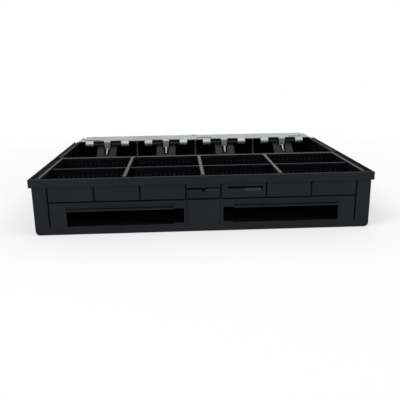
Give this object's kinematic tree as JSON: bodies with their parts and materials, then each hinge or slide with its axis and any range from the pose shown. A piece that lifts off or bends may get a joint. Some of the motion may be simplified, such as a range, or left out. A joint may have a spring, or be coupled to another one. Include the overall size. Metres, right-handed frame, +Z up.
{
  "type": "cash drawer insert",
  "caption": "Black plastic cash drawer insert with a lift-out divided coin tray in front, note bays behind it and sprung note clips hinged on a steel bar across the rear.",
  "frame": {"origin": "centre of the flat underside", "axes": "+X to the right seen from the front, +Y to the rear where the clip bar is, +Z up"},
  "size_m": [0.39, 0.316, 0.0687],
  "materials": {
    "tray_plastic": "fine grained charcoal black",
    "coin_plastic": "smooth satin black",
    "clip_plastic": "satin black",
    "bar_steel": "dull galvanised sheet",
    "rod_steel": "blackened drawn rod",
    "spring_wire": "bright plated wire",
    "screw_steel": "zinc plated"
  },
  "bodies": {
    "tray": {"outer_tray": "tray_plastic", "note_divider_1": "tray_plastic", "note_divider_2": "tray_plastic", "note_divider_3": "tray_plastic", "clip_bar": "bar_steel", "clip_rod_1": "rod_steel", "clip_rod_2": "rod_steel", "clip_rod_3": "rod_steel", "clip_rod_4": "rod_steel", "clip_spring_1": "spring_wire", "clip_spring_2": "spring_wire", "clip_spring_3": "spring_wire", "clip_spring_4": "spring_wire", "bar_screws": "screw_steel"},
    "coin_tray": {"coin_tray": "coin_plastic"},
    "coin_divider_1": {"coin_divider_1": "coin_plastic"},
    "coin_divider_2": {"coin_divider_2": "coin_plastic"},
    "coin_divider_3": {"coin_divider_3": "coin_plastic"},
    "coin_divider_4": {"coin_divider_4": "coin_plastic"},
    "note_clip_1": {"note_clip_1": "clip_plastic"},
    "note_clip_2": {"note_clip_2": "clip_plastic"},
    "note_clip_3": {"note_clip_3": "clip_plastic"},
    "note_clip_4": {"note_clip_4": "clip_plastic"}
  },
  "joints": [
    {"name": "coin_tray_lift", "type": "slide", "parent": "tray", "child": "coin_tray", "axis": [0, 0, 1], "range_m": [0, 0.08]},
    {"name": "coin_divider_1_lift", "type": "slide", "parent": "coin_tray", "child": "coin_divider_1", "axis": [0, 0, 1], "range_m": [0, 0.04]},
    {"name": "coin_divider_2_lift", "type": "slide", "parent": "coin_tray", "child": "coin_divider_2", "axis": [0, 0, 1], "range_m": [0, 0.04]},
    {"name": "coin_divider_3_lift", "type": "slide", "parent": "coin_tray", "child": "coin_divider_3", "axis": [0, 0, 1], "range_m": [0, 0.04]},
    {"name": "coin_divider_4_lift", "type": "slide", "parent": "coin_tray", "child": "coin_divider_4", "axis": [0, 0, 1], "range_m": [0, 0.04]},
    {"name": "note_clip_1_hinge", "type": "hinge", "parent": "tray", "child": "note_clip_1", "pos_m": [-0.1416, 0.1107, 0.0613], "axis": [-1, 0, 0], "range_deg": [0, 75], "stiffness_Nm_per_rad": 0.021, "springref_deg": -57.3, "deforming": ["clip_spring_1"]},
    {"name": "note_clip_2_hinge", "type": "hinge", "parent": "tray", "child": "note_clip_2", "pos_m": [-0.0472, 0.1107, 0.0613], "axis": [-1, 0, 0], "range_deg": [0, 75], "stiffness_Nm_per_rad": 0.021, "springref_deg": -57.3, "deforming": ["clip_spring_2"]},
    {"name": "note_clip_3_hinge", "type": "hinge", "parent": "tray", "child": "note_clip_3", "pos_m": [0.0472, 0.1107, 0.0613], "axis": [-1, 0, 0], "range_deg": [0, 75], "stiffness_Nm_per_rad": 0.021, "springref_deg": -57.3, "deforming": ["clip_spring_3"]},
    {"name": "note_clip_4_hinge", "type": "hinge", "parent": "tray", "child": "note_clip_4", "pos_m": [0.1416, 0.1107, 0.0613], "axis": [-1, 0, 0], "range_deg": [0, 75], "stiffness_Nm_per_rad": 0.021, "springref_deg": -57.3, "deforming": ["clip_spring_4"]}
  ]
}
